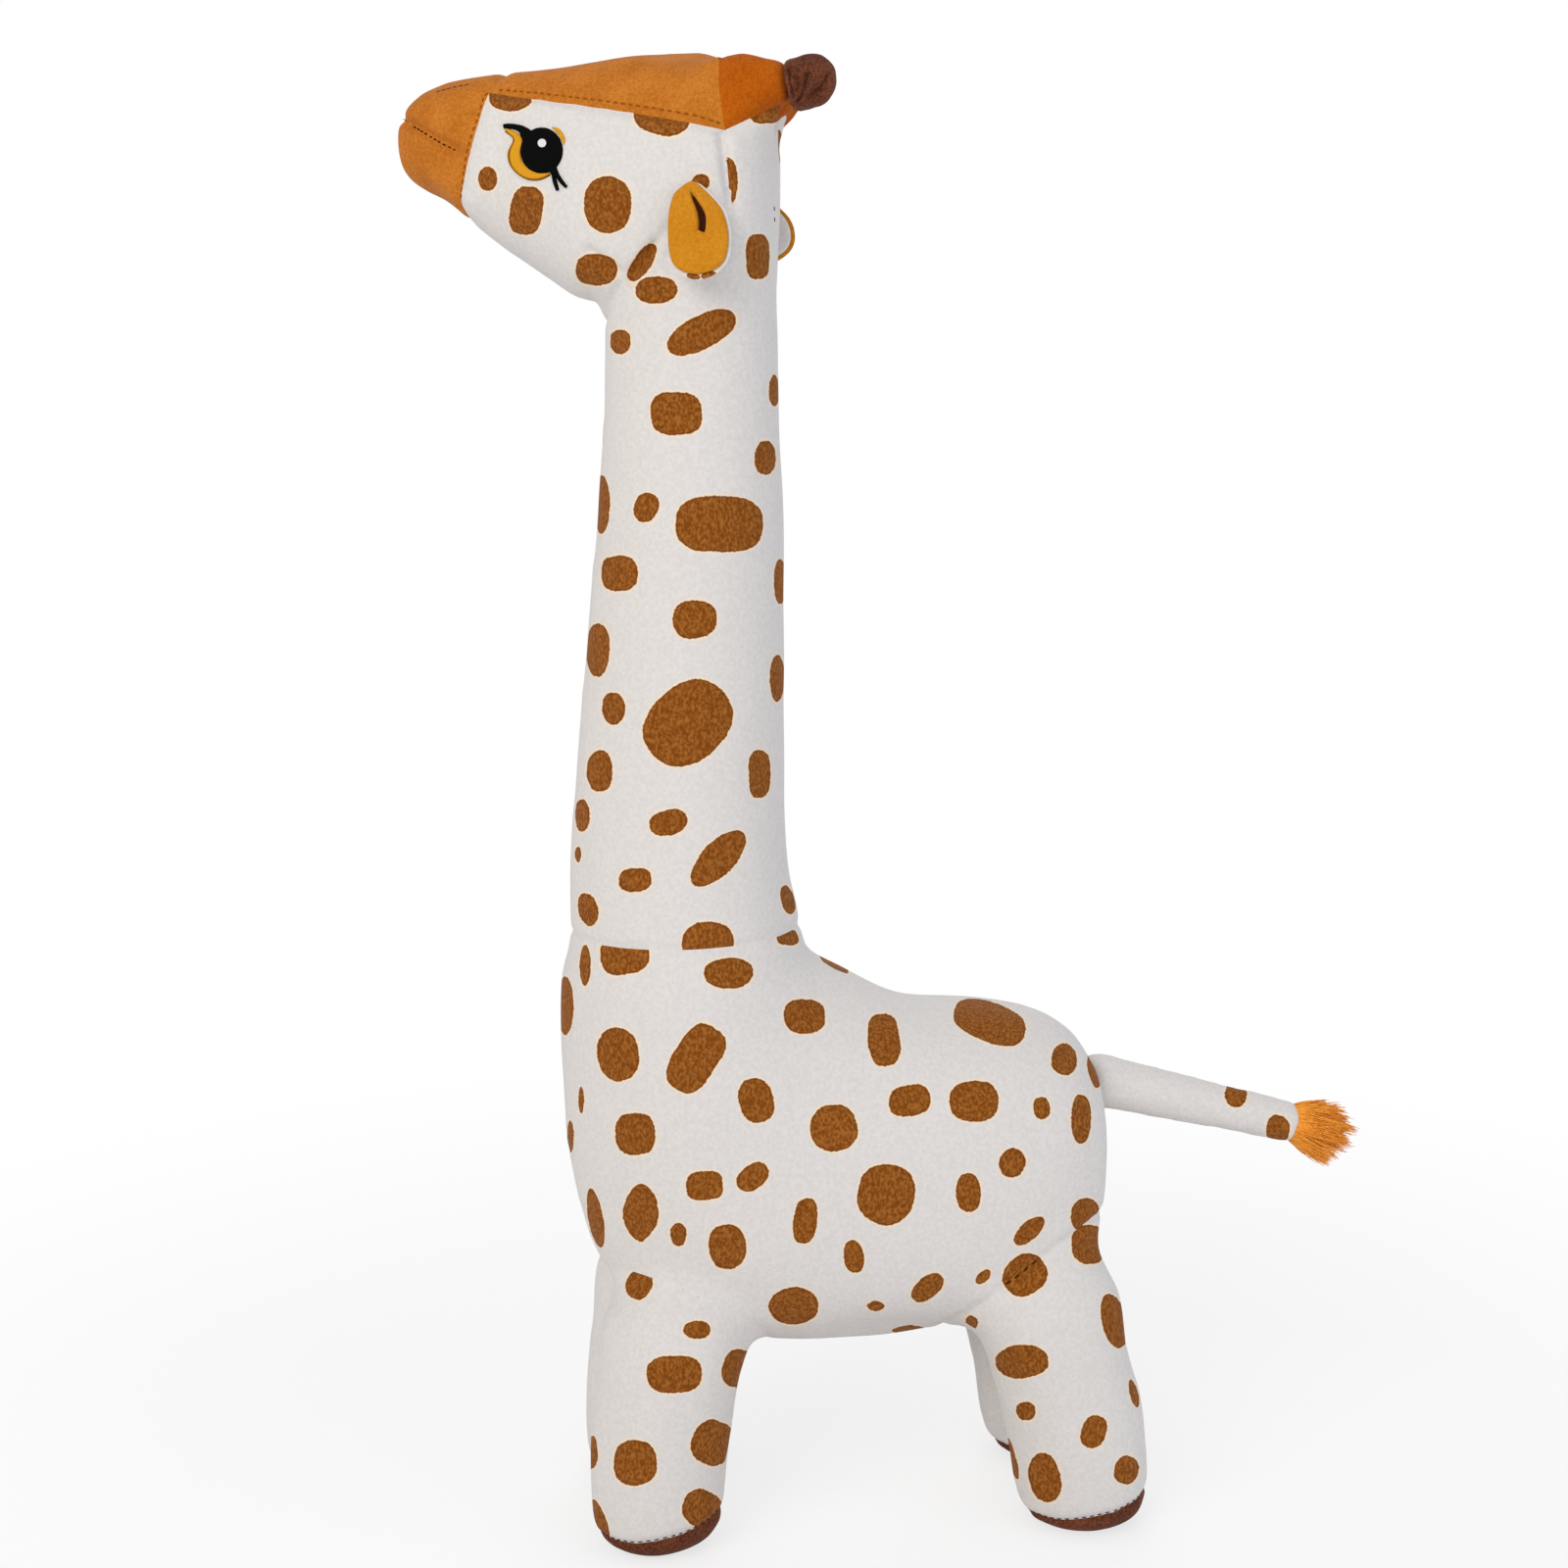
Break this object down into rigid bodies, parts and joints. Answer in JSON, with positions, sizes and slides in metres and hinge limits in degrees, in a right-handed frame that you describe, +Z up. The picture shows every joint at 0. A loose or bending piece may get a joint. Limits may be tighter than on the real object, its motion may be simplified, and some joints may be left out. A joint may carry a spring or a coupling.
{
  "type": "plush giraffe",
  "caption": "Stuffed standing toy giraffe with a long neck, padded legs, drooping tail, ears and horns that flex at their seams.",
  "frame": {"origin": "on the floor under the middle of the giraffe's box", "axes": "+Z up, -X the way that the body faces, -Y its left flank"},
  "size_m": [0.3936, 0.1152, 0.5862],
  "materials": {
    "white_pile": "matte",
    "golden_pile": "matte",
    "amber_pile": "matte",
    "brown_pile": "matte",
    "black_thread": "satin"
  },
  "bodies": {
    "trunk": {"body": "white_pile"},
    "neck": {"neck": "white_pile"},
    "head": {"head": "white_pile", "face_cap": "golden_pile", "muzzle_upper": "golden_pile", "muzzle_lower": "golden_pile", "eye_left": "black_thread", "eye_right": "black_thread"},
    "ear_left": {"ear_left": "white_pile", "ear_lining_left": "golden_pile"},
    "ear_right": {"ear_right": "white_pile", "ear_lining_right": "golden_pile"},
    "horn_left": {"horn_left": "amber_pile", "horn_tip_left": "brown_pile"},
    "horn_right": {"horn_right": "amber_pile", "horn_tip_right": "brown_pile"},
    "leg_front_left": {"leg_front_left": "white_pile", "sole_front_left": "brown_pile"},
    "leg_front_right": {"leg_front_right": "white_pile", "sole_front_right": "brown_pile"},
    "leg_hind_left": {"leg_hind_left": "white_pile", "sole_hind_left": "brown_pile"},
    "leg_hind_right": {"leg_hind_right": "white_pile", "sole_hind_right": "brown_pile"},
    "tail": {"tail": "white_pile", "tail_tuft": "golden_pile"}
  },
  "joints": [
    {"name": "neck_lean", "type": "hinge", "parent": "trunk", "child": "neck", "pos_m": [-0.08583, 0, 0.19494], "axis": [0, 1, 0], "range_deg": [-6, 6], "stiffness_Nm_per_rad": 14},
    {"name": "head_turn", "type": "hinge", "parent": "neck", "child": "head", "pos_m": [-0.08283, 0, 0.44994], "axis": [0, 0, 1], "range_deg": [-12, 48], "stiffness_Nm_per_rad": 1.5},
    {"name": "ear_flap_left", "type": "hinge", "parent": "head", "child": "ear_left", "pos_m": [-0.08155, -0.03983, 0.52969], "axis": [-0.9511, 0.309, 0], "range_deg": [-6, 70], "stiffness_Nm_per_rad": 0.02},
    {"name": "ear_flap_right", "type": "hinge", "parent": "head", "child": "ear_right", "pos_m": [-0.05838, 0.03147, 0.52969], "axis": [0.9511, -0.309, 0], "range_deg": [-6, 70], "stiffness_Nm_per_rad": 0.02},
    {"name": "horn_flex_left", "type": "hinge", "parent": "head", "child": "horn_left", "pos_m": [-0.06249, -0.0229, 0.56624], "axis": [0.309, 0.9511, 0], "range_deg": [-8, 8], "stiffness_Nm_per_rad": 0.15},
    {"name": "horn_flex_right", "type": "hinge", "parent": "head", "child": "horn_right", "pos_m": [-0.05292, 0.00658, 0.56624], "axis": [0.309, 0.9511, 0], "range_deg": [-8, 8], "stiffness_Nm_per_rad": 0.15},
    {"name": "hip_front_left", "type": "hinge", "parent": "trunk", "child": "leg_front_left", "pos_m": [-0.09479, -0.032, 0.083], "axis": [0, 1, 0], "range_deg": [-12, 12], "stiffness_Nm_per_rad": 8},
    {"name": "hip_front_right", "type": "hinge", "parent": "trunk", "child": "leg_front_right", "pos_m": [-0.09479, 0.032, 0.083], "axis": [0, 1, 0], "range_deg": [-12, 12], "stiffness_Nm_per_rad": 8},
    {"name": "hip_hind_left", "type": "hinge", "parent": "trunk", "child": "leg_hind_left", "pos_m": [0.05569, -0.032, 0.087], "axis": [0, 1, 0], "range_deg": [-12, 12], "stiffness_Nm_per_rad": 8},
    {"name": "hip_hind_right", "type": "hinge", "parent": "trunk", "child": "leg_hind_right", "pos_m": [0.05569, 0.032, 0.087], "axis": [0, 1, 0], "range_deg": [-12, 12], "stiffness_Nm_per_rad": 8},
    {"name": "tail_lift", "type": "hinge", "parent": "trunk", "child": "tail", "pos_m": [0.08601, 0, 0.17605], "axis": [0, -1, 0], "range_deg": [-8, 30], "stiffness_Nm_per_rad": 0.6}
  ]
}
